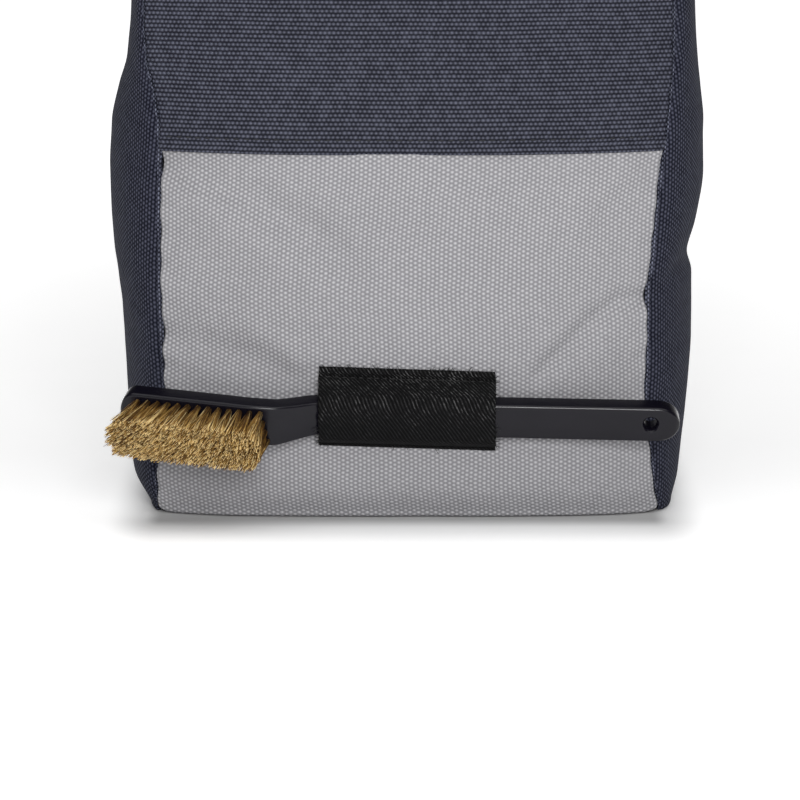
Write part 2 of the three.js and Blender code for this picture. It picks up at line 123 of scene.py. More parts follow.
# Share of the bag's height, and widths as shares of half its width
WIDTHS = table("up seam_left seam_right side_left side_right", [
    (0.01, 0.823, 0.829, 0.863, 0.895),
    (0.05, 0.825, 0.813, 0.924, 0.922),
    (0.1, 0.815, 0.802, 0.936, 0.931),
    (0.185, 0.794, 0.779, 0.948, 0.949),
    (0.27, 0.801, 0.784, 0.956, 0.96),
    (0.37, 0.805, 0.784, 0.977, 0.96),
    (0.41, 0.806, 0.794, 0.988, 0.944),
    (0.46, 0.805, 0.803, 0.995, 0.968),
    (0.55, 0.804, 0.821, 1.001, 0.997),
    (0.625, 0.805, 0.841, 0.993, 0.998),
    (0.685, 0.82, 0.855, 0.963, 0.982),
    (0.745, 0.848, 0.865, 0.928, 0.969),
    (0.825, 0.857, 0.867, 0.916, 0.959),
    (0.925, 0.857, 0.863, 0.912, 0.954),
    (1, 0.855, 0.86, 0.91, 0.951),
])
# Depths as shares of half the bag's depth, and how flat the front is
DEPTHS = table("up seam_depth front back crown", [
    (0.01, 0.75, 0.885, 0.86, 5),
    (0.05, 0.785, 0.938, 0.9, 4.6),
    (0.1, 0.803, 0.964, 0.92, 4.2),
    (0.185, 0.811, 0.988, 0.94, 3.6),
    (0.27, 0.811, 1, 0.95, 3.2),
    (0.37, 0.808, 0.997, 0.95, 3),
    (0.41, 0.803, 0.992, 0.945, 2.9),
    (0.46, 0.792, 0.986, 0.94, 2.8),
    (0.55, 0.77, 0.968, 0.92, 2.7),
    (0.625, 0.742, 0.944, 0.9, 2.6),
    (0.685, 0.712, 0.914, 0.87, 2.5),
    (0.745, 0.675, 0.876, 0.84, 2.5),
    (0.825, 0.625, 0.818, 0.79, 2.4),
    (0.925, 0.582, 0.75, 0.73, 2.4),
    (1, 0.563, 0.722, 0.71, 2.4),
])
GUSSET_TURN = 0.32
GUSSET_ROLL = -0.04
GUSSET_ROUND = 0.45
GUSSET_WIDE = 0.2

# The brush's outline: share of its length, width as a share of the head's, and how far forward
BRUSH_STATIONS = table("along width forward", [
    (0, 1, -0.15),
    (0.09, 1, 0.27),
    (0.18, 0.99, 0.68),
    (0.245, 0.98, 0.95),
    (0.27, 0.96, 0.97),
    (0.3, 0.88, 0.68),
    (0.35, 0.8, 0.12),
    (0.39, 0.79, 0),
    (0.7, 0.82, 0),
    (0.92, 0.83, 0),
    (1, 0.83, 0),
])
BRISTLED_FROM = 0.0335
BRISTLED_TO = 0.2665
HEAD_ROUND = 0.32
HANDLE_ROUND = 0.5

# Folds in the pale panel: how far each rises, how wide it spreads, and where it runs (across, up)
PALE_FOLDS = [
    (-2.0, 3.3, [(78, 73), (68, 71), (60, 65), (50, 55), (39, 45)]),  # right valley
    (0.7, 7, [(78, 62), (68, 60), (58, 51), (48, 43)]),  # right puff
    (-0.2, 3, [(78, 47), (68, 43), (60, 40)]),  # right low
    (-1.0, 5, [(80, 112), (70, 105), (60, 96)]),  # right top
    (0.8, 6, [(70, 112), (60, 104), (52, 92)]),  # right top ridge
    (-2.6, 6.5, [(-77, 115), (-47, 104), (-25, 90), (-12, 76)]),  # left valley
    (1.6, 8, [(-70, 104), (-50, 92), (-36, 80)]),  # left ridge
    (1.2, 10, [(-8, 118), (4, 106), (12, 94)]),  # top swell
    (-1.5, 5.5, [(-80, 62), (-62, 57), (-45, 52), (-32, 44)]),  # low left
    (1.0, 4.5, [(-50, 62), (-40, 56), (-31, 50)]),  # low left ridge
]

HALF_WIDTH = BAG_WIDTH / 2
HALF_DEPTH = BAG_DEPTH / 2
WALL_FOOT = 0.25
WALL_TOP = HEM_FOOT - GAP


def column_of(rows, key, name):
    """A smooth curve through one column of a table, which never overshoots its rows."""
    x = np.array([row[key] for row in rows], float)
    y = np.array([row[name] for row in rows], float)
    rate = np.diff(y) / np.diff(x)
    product = rate[:-1] * rate[1:]
    total = np.where(np.abs(rate[:-1] + rate[1:]) < 1e-12, 1, rate[:-1] + rate[1:])
    inner = np.where(product <= 0, 0, 2 * product / total)
    slope = np.concatenate([rate[:1], inner, rate[-1:]])

    def curve(at):
        here = np.clip(at, x[0], x[-1])
        i = np.clip(np.searchsorted(x, here, side="right") - 1, 0, len(x) - 2)
        span = x[i + 1] - x[i]
        s = (here - x[i]) / span
        rise = (1 + 2 * s) * (1 - s) ** 2 * y[i] + s * s * (3 - 2 * s) * y[i + 1]
        return rise + span * (s * (1 - s) ** 2 * slope[i] - s * s * (1 - s) * slope[i + 1])

    return curve


def curves_of(rows, key):
    return {name: column_of(rows, key, name) for name in rows[0] if name != key}


widths = curves_of(WIDTHS, "up")
depths = curves_of(DEPTHS, "up")


def across(name, z):
    return HALF_WIDTH * widths[name](z / BAG_HEIGHT)


def deep(name, z):
    return HALF_DEPTH * depths[name](z / BAG_HEIGHT)


def crown_at(share, z):
    return 1 - np.abs(share) ** depths["crown"](z / BAG_HEIGHT)


def wide_plan(name, t, z):
    """The front or the back, with t from its own left to its own right as seen from outside."""
    side = 1 if name == "back" else -1
    left, right = across("seam_left", z), across("seam_right", z)
    x = right - t * (left + right) if side > 0 else t * (left + right) - left
    share = np.where(x < 0, x / left, x / right)
    seam = deep("seam_depth", z)
    return x, side * (seam + (deep(name, z) - seam) * crown_at(share, z))


def gusset_plan(side, t, z):
    name = "right" if side > 0 else "left"
    seam, full = across("seam_" + name, z), across("side_" + name, z)
    depth = deep("seam_depth", z)
    along_side = 2 * t - 1 if side > 0 else 1 - 2 * t
    s = 1 - np.abs(along_side)
    wide = full - seam
    rounding = GUSSET_ROUND * np.minimum(1, wide / (GUSSET_WIDE * HALF_WIDTH))
    b = [(1 - s) ** 3, 3 * s * (1 - s) ** 2, 3 * s * s * (1 - s), s**3]
    x = b[0] * seam + b[1] * (seam + GUSSET_TURN * wide) + (b[2] + b[3]) * full
    y = b[0] * depth + b[1] * (depth + GUSSET_ROLL * wide) + b[2] * depth * (1 - rounding)
    return side * x, np.sign(along_side) * y


PLANS = {
    "front": lambda t, z: wide_plan("front", t, z),
    "gusset_right": lambda t, z: gusset_plan(1, t, z),
    "back": lambda t, z: wide_plan("back", t, z),
    "gusset_left": lambda t, z: gusset_plan(-1, t, z),
}


def panel_points(panel, t, z, out, along=0.0):
    """Points on a panel, moved out along the plan's normal and along its own line."""
    t, z, out, along = np.broadcast_arrays(np.asarray(t, float), z, out, along)
    step = 1e-3
    plan = PLANS[panel]
    ax, ay = plan(np.maximum(0, t - step), z)
    bx, by = plan(np.minimum(1, t + step), z)
    length = np.hypot(bx - ax, by - ay)
    tx, ty = (bx - ax) / length, (by - ay) / length
    x, y = plan(t, z)
    return np.stack([x + ty * out + tx * along, y - tx * out + ty * along, z], axis=-1)


def smooth_noise(x, y, seed, size):
    """Soft noise between about -1 and 1, with lumps about size across."""
    flat = zip(np.ravel(x) / size, np.ravel(y) / size)
    values = [noise.noise(Vector((a, b, seed * 7.31))) for a, b in flat]
    return np.array(values).reshape(np.shape(x))


def fold_relief(folds, x, z):
    """How far a table of folds lifts the cloth at places across and up."""
    total = np.zeros(np.shape(x))
    for rise, spread, places in folds:
        run = np.array(places, float)
        spans = np.linalg.norm(np.diff(run, axis=0), axis=1)
        start = np.concatenate([[0], np.cumsum(spans)])
        nearest = np.full(np.shape(x), np.inf)
        where = np.zeros(np.shape(x))
        for i, span in enumerate(spans):
            dx, dz = (run[i + 1] - run[i]) / span
            s = np.clip((x - run[i][0]) * dx + (z - run[i][1]) * dz, 0, span)
            away = np.hypot(x - run[i][0] - s * dx, z - run[i][1] - s * dz)
            closer = away < nearest
            nearest = np.where(closer, away, nearest)
            where = np.where(closer, start[i] + s, where)
        share = where / start[-1]
        fade = np.clip(np.minimum(5 * share + 0.8, 4 * (1 - share)), 0, 1)
        total += rise * np.sin(fade * math.pi / 2) * np.exp(-((nearest / spread) ** 2))
    return total


def run_of(line):
    """Distance along a line of points, from its start."""
    return np.concatenate([[0], np.cumsum(np.linalg.norm(np.diff(line, axis=0), axis=1))])


def on_line(places, run, line):
    """Points at given distances along a line."""
    return np.stack([np.interp(places, run, line[:, axis]) for axis in range(line.shape[1])], axis=-1)


def rounded_edge(distance, radius):
    """How far a rolled edge has dropped at a distance from it."""
    inside = np.clip(radius - distance, 0, radius)
    return -(radius - np.sqrt(np.maximum(0, radius**2 - inside**2)))


def bump(distance, middle, spread):
    return np.exp(-(((distance - middle) / spread) ** 2))


# Meshes

collection = bpy.context.scene.collection


def link_mesh(name, vertices, faces, material, uv=None, sharp_deg=None):
    mesh = bpy.data.meshes.new(name)
    mesh.from_pydata((np.asarray(vertices, float) * MM).tolist(), [], faces)
    mesh.polygons.foreach_set("use_smooth", np.ones(len(mesh.polygons), bool))
    if uv is not None:
        index = np.empty(len(mesh.loops), np.int32)
        mesh.loops.foreach_get("vertex_index", index)
        layer = mesh.uv_layers.new(name="UVMap")
        layer.data.foreach_set("uv", (np.asarray(uv, float)[index] * MM).ravel())
    mesh.materials.append(material)
    obj = bpy.data.objects.new(name, mesh)
    collection.objects.link(obj)
    if sharp_deg is not None:
        sharpen(mesh, math.radians(sharp_deg))
    return obj


def sharpen(mesh, angle):
    work = bmesh.new()
    work.from_mesh(mesh)
    bmesh.ops.recalc_face_normals(work, faces=work.faces)
    for edge in work.edges:
        if len(edge.link_faces) == 2 and edge.calc_face_angle(0) > angle:
            edge.smooth = False
    work.to_mesh(mesh)
    work.free()


def grid_faces(rows, columns, start=0, flip=False):
    faces = []
    for r in range(rows - 1):
        for c in range(columns - 1):
            a = start + r * columns + c
            quad = (a, a + 1, a + columns + 1, a + columns)
            faces.append(quad[::-1] if flip else quad)
    return faces


def sheet(name, outer, inner, uv, material):
    """A closed cloth between an outer and an inner grid of points."""
    rows, columns = outer.shape[:2]
    count = rows * columns
    faces = grid_faces(rows, columns) + grid_faces(rows, columns, count, flip=True)
    rim = [(0, c) for c in range(columns)]
    rim += [(r, columns - 1) for r in range(1, rows)]
    rim += [(rows - 1, c) for c in range(columns - 2, -1, -1)]
    rim += [(r, 0) for r in range(rows - 2, 0, -1)]
    ids = [r * columns + c for r, c in rim]
    for a, b in zip(ids, ids[1:] + ids[:1]):
        faces.append((a, a + count, b + count, b))
    vertices = np.concatenate([outer.reshape(-1, 3), inner.reshape(-1, 3)])
    flat_uv = uv.reshape(-1, 2)
    return link_mesh(name, vertices, faces, material, np.concatenate([flat_uv, flat_uv]))


def loft(name, rings, material, closed=False, uv=None, sharp_deg=None):
    """A body through rings of points, capped at its ends or joined into a ring."""
    count, sides = rings.shape[:2]
    faces = []
    for r in range(count if closed else count - 1):
        here, after = r * sides, ((r + 1) % count) * sides
        for c in range(sides):
            d = (c + 1) % sides
            faces.append((here + c, here + d, after + d, after + c))
    if not closed:
        faces.append(tuple(range(sides - 1, -1, -1)))
        faces.append(tuple(range((count - 1) * sides, count * sides)))
    return link_mesh(name, rings.reshape(-1, 3), faces, material, uv, sharp_deg)


def put(obj, slot, *nodes):
    """Gives a piece its body and hides the solids that it stands for. The slot is not used."""
    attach(obj, "root")
    if nodes:
        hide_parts(*nodes)
    return obj


def arc_lengths(points):
    """Distance along each row of a grid of points, from the row's middle."""
    steps = np.linalg.norm(np.diff(points, axis=1), axis=2)
    run = np.concatenate([np.zeros((len(points), 1)), np.cumsum(steps, axis=1)], axis=1)
    return run - run[:, -1:] / 2


def cloth_uv(points):
    """Places on the cloth in millimetres: across from the middle, and up the middle column."""
    middle = points[:, points.shape[1] // 2]
    up = run_of(middle)
    u = arc_lengths(points)
    return np.stack([u, np.broadcast_to(up[:, None], u.shape)], axis=-1)


# Materials

FIBRE_SEED = 3.7


class Nodes:
    """Short calls for building one material's nodes."""

    def __init__(self, name):
        self.material = bpy.data.materials.new(name)
        self.material.use_nodes = True
        self.tree = self.material.node_tree
        self.shader = self.tree.nodes["Principled BSDF"]

    def node(self, kind, inputs=(), **settings):
        made = self.tree.nodes.new(kind)
        for key, value in settings.items():
            setattr(made, key, value)
        for socket, value in inputs:
            self.put(made.inputs[socket], value)
        return made

    def put(self, socket, value):
        if isinstance(value, bpy.types.NodeSocket):
            self.tree.links.new(value, socket)
        else:
            socket.default_value = value

    def math(self, operation, *values, clamp=False):
        made = self.node("ShaderNodeMath", enumerate(values), operation=operation, use_clamp=clamp)
        return made.outputs[0]

    def plus(self, a, b):
        return self.math("ADD", a, b)

    def minus(self, a, b):
        return self.math("SUBTRACT", a, b)

    def times(self, a, b):
        return self.math("MULTIPLY", a, b)

    def scaled(self, value, factor, offset, clamp=False):
        return self.math("MULTIPLY_ADD", value, factor, offset, clamp=clamp)

    def set(self, name, value):
        """Sets or links one socket of the shader."""
        self.put(self.shader.inputs[name], value)

    def noise(self, vector, scale, detail=2.0, rough=0.5):
        values = dict(Vector=vector, Scale=scale, Detail=detail, Roughness=rough)
        return self.node("ShaderNodeTexNoise", values.items()).outputs["Fac"]

    def combine(self, x, y, z=0.0):
        return self.node("ShaderNodeCombineXYZ", enumerate((x, y, z))).outputs[0]

    def ramp(self, factor, stops):
        made = self.node("ShaderNodeValToRGB")
        elements = made.color_ramp.elements
        while len(elements) < len(stops):
            elements.new(0.5)
        for element, (place, colour) in zip(elements, stops):
            element.position = place
            element.color = (*colour, 1)
        self.put(made.inputs[0], factor)
        return made.outputs[0]

    def multiplied(self, a, b):
        """Two colours multiplied."""
        made = self.node("ShaderNodeMix", [(0, 1.0), (6, a), (7, b)], data_type="RGBA", blend_type="MULTIPLY")
        return made.outputs[2]

    def bump(self, height, strength, distance):
        values = dict(Strength=strength, Distance=distance, Height=height)
        self.set("Normal", self.node("ShaderNodeBump", values.items()).outputs["Normal"])

    def place(self):
        """The place on the cloth, from its UV map, in metres."""
        made = self.node("ShaderNodeUVMap", uv_map="UVMap")
        split = self.node("ShaderNodeSeparateXYZ", [(0, made.outputs[0])])
        return made.outputs[0], split.outputs[0], split.outputs[1]

    def position(self):
        return self.node("ShaderNodeTexCoord").outputs["Object"]


def grey(value):
    return (value, value, value)


def weave_cloth(
    name, gap_shade_colour, crown_colour, gloss, rough, uneven,
    pitch=1.41, run=1.46, turned=False, rows=0.0, lift=0.35,
):
    """A plain weave seen as yarn crowns, each row half a crown on from the last.

    pitch is between the rows, run along a row, rows how far the crowns of a row join up, and
    uneven how much one crown differs from the next.
    """
    n = Nodes(name)
    vector, u, v = n.place()
    u = n.plus(u, n.scaled(n.noise(vector, 55, 2), 0.0007, -0.00035))
    v = n.plus(v, n.scaled(n.noise(vector, 40, 2), -0.0007, 0.00035))
    if turned:
        u, v = v, u
    across_rows = n.math("DIVIDE", u, pitch * MM)
    row = n.math("FLOOR", across_rows)
    odd = n.math("FLOORED_MODULO", row, 2.0)
    along_row = n.scaled(odd, 0.5, n.math("DIVIDE", v, run * MM))
    crown = n.math("FLOOR", along_row)
    a = n.minus(n.math("FRACT", across_rows), 0.5)
    b = n.minus(n.math("FRACT", along_row), 0.5)
    over = n.math("COSINE", n.times(a, math.pi))
    beat = n.math("COSINE", n.times(b, 2 * math.pi))
    # Crowns that stand like eggs in a box, and crowns that join into rows
    cell = n.scaled(n.math("COSINE", n.times(a, 2 * math.pi)), 0.45, 0.0)
    boxed = n.scaled(n.plus(n.times(over, beat), cell), 0.345, 0.5)
    joined = n.times(n.math("POWER", over, 1.3), n.scaled(beat, 0.26, 0.74))
    float_up = n.plus(n.times(boxed, 1 - rows), n.times(joined, rows))
    # Fine filaments run along each yarn
    stretched = n.combine(n.times(u, 9000.0), n.times(v, 1800.0), FIBRE_SEED)
    fibre = n.noise(stretched, 1.0, 2, 0.6)
    height = n.scaled(n.minus(fibre, 0.5), 0.2, float_up)
    each = n.node("ShaderNodeTexWhiteNoise", [("Vector", n.combine(row, crown))], noise_dimensions="2D")
    tone = n.scaled(n.minus(each.outputs["Value"], 0.5), uneven, height)
    # The colour darkens from the crowns' tops down into the low places between them: painted shade between
    # the yarns. The random step from one crown to the next is the yarns' own tone.
    middle = tuple(0.62 * g + 0.38 * c for g, c in zip(gap_shade_colour, crown_colour))
    colour = n.ramp(tone, [(0.2, gap_shade_colour), (0.55, middle), (0.95, crown_colour)])
    # Soft unevenness of the dye
    cloudy = n.noise(vector, 22, 4, 0.6)
    colour = n.multiplied(colour, n.ramp(cloudy, [(0.3, grey(0.955)), (0.7, grey(1.0))]))
    n.set("Base Color", colour)
    n.set("Roughness", n.scaled(float_up, rough - 0.95, 0.95))
    n.set("Specular IOR Level", gloss)
    n.bump(height, 1.0, lift * MM)
    return n.material


RIB_SLOPE = math.radians(34)
RIB_PITCH = 1.02


def elastic_cloth(name):
    """Black webbing with fine ribs on the slant, each a line of short broken floats."""
    n = Nodes(name)
    vector, u, v = n.place()
    slope_x, slope_y = math.cos(RIB_SLOPE), math.sin(RIB_SLOPE)
    wander = n.scaled(n.noise(vector, 60, 2), 0.0003, -0.00015)
    slanted = n.plus(n.times(u, slope_x), n.times(v, slope_y))
    rib = n.math("DIVIDE", n.plus(slanted, wander), RIB_PITCH * MM)
    side = n.minus(n.math("FRACT", rib), 0.5)
    ridge = n.math("POWER", n.math("COSINE", n.times(side, math.pi)), 1.6)
    along = n.minus(n.times(v, slope_x), n.times(u, slope_y))
    threads = n.combine(n.times(slanted, 2600.0), n.times(along, 700.0), FIBRE_SEED)
    streak = n.noise(threads, 1.0, 3, 0.65)
    # Ribs stand out here and are worn smooth there, and their painted sheen follows them
    worn = n.scaled(n.noise(vector, 90, 3), 1.6, -0.25, clamp=True)
    strand = n.scaled(n.minus(streak, 0.4), 4.0, 0.0, clamp=True)
    # Low on the loop, over the brush's face, the ribs are made lower and their painted sheen dimmer
    slack = n.scaled(n.math("DIVIDE", n.plus(v, 0.023), 0.008, clamp=True), 0.6, 0.4)
    broken = n.times(n.times(strand, worn), slack)
    float_up = n.times(ridge, n.scaled(broken, 0.75, 0.25))
    fuzz = n.noise(n.combine(n.times(u, 5000.0), n.times(v, 5000.0)), 1.0, 3, 0.7)
    height = n.scaled(n.minus(fuzz, 0.5), 0.5, float_up)
    # The ridges are coloured far lighter than the black ground: painted sheen on the ridges
    stops = [(0.12, (0.001, 0.001, 0.0012)), (0.4, (0.012, 0.012, 0.0125)), (0.8, grey(0.13))]
    n.set("Base Color", n.ramp(height, stops))
    n.set("Roughness", n.scaled(float_up, -0.3, 0.8))
    n.set("Specular IOR Level", 0.1)
    n.bump(n.scaled(ridge, 0.5, height), 1.0, 0.25 * MM)
    return n.material


def moulded_plastic(name, gloss):
    n = Nodes(name)
    place = n.position()
    broad = n.noise(place, 60, 3)
    fine = n.noise(place, 1400, 3, 0.6)
    colour = n.ramp(broad, [(0.3, (0.003, 0.0025, 0.0052)), (0.75, (0.0042, 0.0036, 0.007))])
    n.set("Base Color", colour)
    rough = n.scaled(fine, 0.08, n.scaled(broad, 0.08, 0.15))
    n.set("Roughness", rough)
    n.set("Specular IOR Level", gloss)
    n.bump(n.scaled(fine, 0.25, broad), 0.1, 0.25 * MM)
    return n.material


HAIR_TONES = [
    (0.0, (0.04, 0.015, 0.003)),
    (0.35, (0.25, 0.125, 0.026)),
    (0.7, (0.54, 0.335, 0.093)),
    (1.0, (0.88, 0.69, 0.34)),
]


def bristle_hair(name):
    n = Nodes(name)
    tone = n.node("ShaderNodeAttribute", attribute_name="tone")
    place = n.position()
    streak = n.noise(place, 900, 2)
    mixed = n.scaled(n.minus(streak, 0.5), 0.25, tone.outputs["Fac"])
    n.set("Base Color", n.ramp(mixed, HAIR_TONES))
    n.set("Roughness", n.scaled(streak, 0.2, 0.4))
    n.set("Specular IOR Level", 0.25)
    n.bump(streak, 0.2, 0.05 * MM)
    return n.material


def thread(name, dark, light):
    """Sewing thread with its ply twisted along it."""
    n = Nodes(name)
    _, u, v = n.place()
    twist = n.math("SINE", n.times(n.plus(u, v), 2 * math.pi / (0.5 * MM)))
    height = n.scaled(twist, 0.5, 0.5)
    n.set("Base Color", n.ramp(height, [(0.0, dark), (1.0, light)]))
    n.set("Roughness", n.scaled(height, -0.15, 0.7))
    n.bump(height, 0.8, 0.08 * MM)
    return n.material


PALE = weave_cloth(
    "pale_weave", (0.175, 0.173, 0.184), (0.44, 0.435, 0.45), gloss=0.15, rough=0.8, uneven=0.07,
    pitch=1.39, run=1.43, lift=0.25,
)
BAND = weave_cloth(
    "navy_weave_across", (0.003, 0.0035, 0.009), (0.08, 0.085, 0.119), gloss=0.25, rough=0.4, uneven=0.22,
    turned=True, rows=0.6,
)
NAVY = weave_cloth(
    "navy_weave_up", (0.0045, 0.005, 0.01), (0.07, 0.074, 0.105), gloss=0.04, rough=0.5, uneven=0.14,
    rows=0.3,
)
# The strips beside the gussets' seams get a lighter copy of the navy weave, with brighter crowns: painted
# light where they face the lamps
LIT_STRIP_WEAVE = weave_cloth(
    "navy_weave_strip_painted_light", (0.003, 0.0035, 0.008), (0.17, 0.18, 0.24), gloss=0.04, rough=0.5, uneven=0.2,
)
ELASTIC = elastic_cloth("ribbed_elastic")
PLASTIC = moulded_plastic("moulded_plastic", 0.29)
PLASTIC_SIDE = moulded_plastic("moulded_plastic_side", 0.08)
HAIR = bristle_hair("bristle")
NAVY_THREAD = thread("navy_thread", (0.002, 0.002, 0.004), (0.008, 0.009, 0.015))
BLACK_THREAD = thread("black_thread", (0.002, 0.002, 0.002), (0.009, 0.009, 0.0095))

# Panels of cloth

# Distances of the mesh's lines from a cloth's edge
EDGE_STEPS = [0, 0.12, 0.3, 0.55, 0.85, 1.2, 1.7, 2.2, 2.7, 3.2, 3.8, 4.6, 5.5]
CORNER_REACH = 5.0
CORNER_LIFT = 1.9
GUSSET_CORNER_REACH = 20
# A seam's edge is drawn in, and runs on behind the neighbouring panel
TUCK_IN = 0.9
TUCK_UNDER = 0.7
TUCK_BEHIND = 0.5


def fine_steps(length, step):
    """Distances from 0 to a length, closer together near either end."""
    middle = np.linspace(EDGE_STEPS[-1], length - EDGE_STEPS[-1], int(length / step))[1:-1]
    return np.concatenate([EDGE_STEPS, middle, length - np.array(EDGE_STEPS[::-1])])


def panel_grid(panel, heights, columns_step, relief, low_edge):
    """A panel's outer and inner grids. relief(t, z, from_start, from_end) is the lift of its cloth."""
    wide = panel in ("front", "back")
    width = FRONT_CLOTH_WIDTH if wide else GUSSET_CLOTH_WIDTH
    steps = fine_steps(width, columns_step)
    t = np.concatenate([[0], steps / width, [1]])
    from_start = np.concatenate([[0], steps, [width]])
    from_end = np.concatenate([[width], width - steps, [0]])
    along = np.concatenate([[-TUCK_UNDER], np.zeros(len(steps)), [TUCK_UNDER]])
    tuck = np.concatenate([[-TUCK_BEHIND], np.zeros(len(steps)), [-TUCK_BEHIND]])
    z = np.asarray(heights, float)[:, None]
    t, z, near, far = np.broadcast_arrays(t, z, from_start, from_end)
    lift = relief(t, z, near, far)
    above = z - heights[0]
    outer = panel_points(panel, t, z, lift + tuck + rounded_edge(above, low_edge), along)
    # The inside follows the folds that go inwards
    inner = panel_points(panel, t, z, np.minimum(lift, 0) - WALL, 0)
    if heights[0] < PALE_TOP / 2:
        # The lower corners are drawn up off the floor
        reach = CORNER_REACH if wide else GUSSET_CORNER_REACH
        corner = np.clip(1 - np.minimum(near, far) / reach, 0, 1)
        bent = 1 - np.sqrt(1 - corner**2) if wide else corner**2
        drawn_up = CORNER_LIFT * bent * np.exp(-above / 6)
        for grid in (outer, inner):
            grid[:, :, 2] += drawn_up
    return outer, inner


def seam_ripples(z, distance, length, size, seed):
    """Small puckers that run out from a seam."""
    swell = 1 + 0.8 * noise_of_height(z, seed)
    wave = np.sin(2 * math.pi * (z + 0.4 * distance) / length + 2.2 * noise_of_height(z, seed + 5))
    return size * swell * wave * np.exp(-distance / 5.5)


def noise_of_height(z, seed):
    column = np.unique(z)
    values = np.array([noise.noise(Vector((value / 23, seed * 3.1, 0.5))) for value in column])
    return np.interp(z, column, values)


def front_relief(t, z, near, far):
    x, _ = wide_plan("front", t, z)
    lift = fold_relief(PALE_FOLDS, x, z)
    lift += seam_ripples(z, near, 10.6, 0.42, 1) + seam_ripples(z, far, 9.2, 0.3, 2)
    lift += 0.45 * smooth_noise(x, z, 1, 26) + 0.16 * smooth_noise(x, z, 2, 9)
    lift += rounded_edge(near, TUCK_IN) + rounded_edge(far, TUCK_IN)
    # The cloth is drawn in a little where the elastic is sewn on
    lift -= 0.5 * bump(z, LOOP_TOP - 2, 5) * np.exp(-((x / 34) ** 6))
    return lift


def band_relief(t, z, near, far):
    x, _ = wide_plan("front", t, z)
    lift = 0.5 * smooth_noise(x, z, 3, 34) + 0.14 * smooth_noise(x, z, 4, 10)
    lift += seam_ripples(z, near, 12, 0.25, 3) + seam_ripples(z, far, 11, 0.25, 4)
    lift += rounded_edge(near, TUCK_IN) + rounded_edge(far, TUCK_IN)
    # The folded lower edge stands proud, and its stitch line is drawn in
    above = z - PALE_TOP
    lift += 0.95 * np.exp(-((np.maximum(above, 0) / 7) ** 2))
    lift -= 0.6 * bump(above, STITCH_UP, 0.55)
    lift += 0.1 * bump(above, 2, 1.4) * np.sin(2 * math.pi * x / STITCH_PITCH)
    return lift


def gusset_relief(side):
    def relief(t, z, near, far):
        front_away = near if side > 0 else far
        back_away = far if side > 0 else near
        seed = 10 + side
        lift = 0.7 * smooth_noise(front_away, z, seed, 30)
        lift += 0.15 * smooth_noise(front_away, z, seed + 3, 9)
        lift += seam_ripples(z, front_away, 9.5, 0.25, seed)
        lift += seam_ripples(z, back_away, 10.5, 0.3, seed + 1)
        lift += rounded_edge(near, TUCK_IN) + rounded_edge(far, TUCK_IN)
        # A flat strip runs along each seam, and the cloth falls away beyond it
        for away in (front_away, back_away):
            past = away - STRIP_WIDTH
            strip = 1 / (1 + np.exp(past / 0.25))
            lift += STRIP_PROUD * (strip - (1 - strip) * np.exp(-np.maximum(0, past) / 6))
        if side > 0:
            crease = [(-0.35, 3.6, [(66, 80), (40, 82), (18, 76), (3, 70)])]
        else:
            crease = [(-0.2, 4, [(60, 66), (36, 60), (14, 52)])]
        return lift + fold_relief(crease, front_away, z)

    return relief


def back_relief(t, z, near, far):
    x, _ = wide_plan("back", t, z)
    lift = 0.8 * smooth_noise(x, z, 21, 34) + 0.18 * smooth_noise(x, z, 22, 10)
    lift += seam_ripples(z, near, 11, 0.35, 23) + seam_ripples(z, far, 10, 0.35, 24)
    lift += rounded_edge(near, TUCK_IN) + rounded_edge(far, TUCK_IN)
    folds = [
        (-1.5, 4.5, [(-78, 70), (-58, 62), (-36, 48)]),
        (-1.2, 5.5, [(78, 82), (56, 70), (34, 64)]),
        (1.1, 11, [(-60, 128), (-30, 112), (0, 104)]),
    ]
    return lift + fold_relief(folds, x, z)


def make_panel(name, panel, heights, step, relief, material, slot, node, low_edge=LOW_EDGE):
    outer, inner = panel_grid(panel, heights, step, relief, low_edge)
    return put(sheet(name, outer, inner, cloth_uv(outer), material), slot, node)


def mark_strips(piece, rows, columns):
    """Gives the strips beside a gusset's seams the lighter copy of the navy weave: painted light."""
    strip = sum(step < STRIP_WIDTH for step in EDGE_STEPS) + 1
    piece.data.materials.append(LIT_STRIP_WEAVE)
    for r in range(rows - 1):
        for c in [*range(strip), *range(columns - 1 - strip, columns - 1)]:
            piece.data.polygons[r * (columns - 1) + c].material_index = 1


pale_heights = WALL_FOOT + fine_steps(PALE_TOP - WALL_FOOT - GAP / 2, FRONT_STEP)
make_panel(
    "pale_front_cloth", "front", pale_heights, FRONT_STEP, front_relief, PALE, "grey_cloth", "front_panel",
)
band_foot = PALE_TOP - 0.5
band_heights = band_foot + fine_steps(WALL_TOP - band_foot, FRONT_STEP)
make_panel(
    "navy_front_cloth", "front", band_heights, FRONT_STEP, band_relief, BAND, "navy_cloth", "front_band",
    FOLDED_EDGE,
)
full_heights = WALL_FOOT + fine_steps(WALL_TOP - WALL_FOOT, GUSSET_STEP)
for side, node in ((-1, "gusset_left"), (1, "gusset_right")):
    gusset = make_panel(
        node + "_cloth", node, full_heights, GUSSET_STEP, gusset_relief(side), NAVY, "navy_cloth", node,
    )
    mark_strips(gusset, len(full_heights), len(fine_steps(GUSSET_CLOTH_WIDTH, GUSSET_STEP)) + 2)
make_panel("back_cloth", "back", full_heights, BACK_STEP, back_relief, NAVY, "navy_cloth", "back_panel")


# The base and the rim


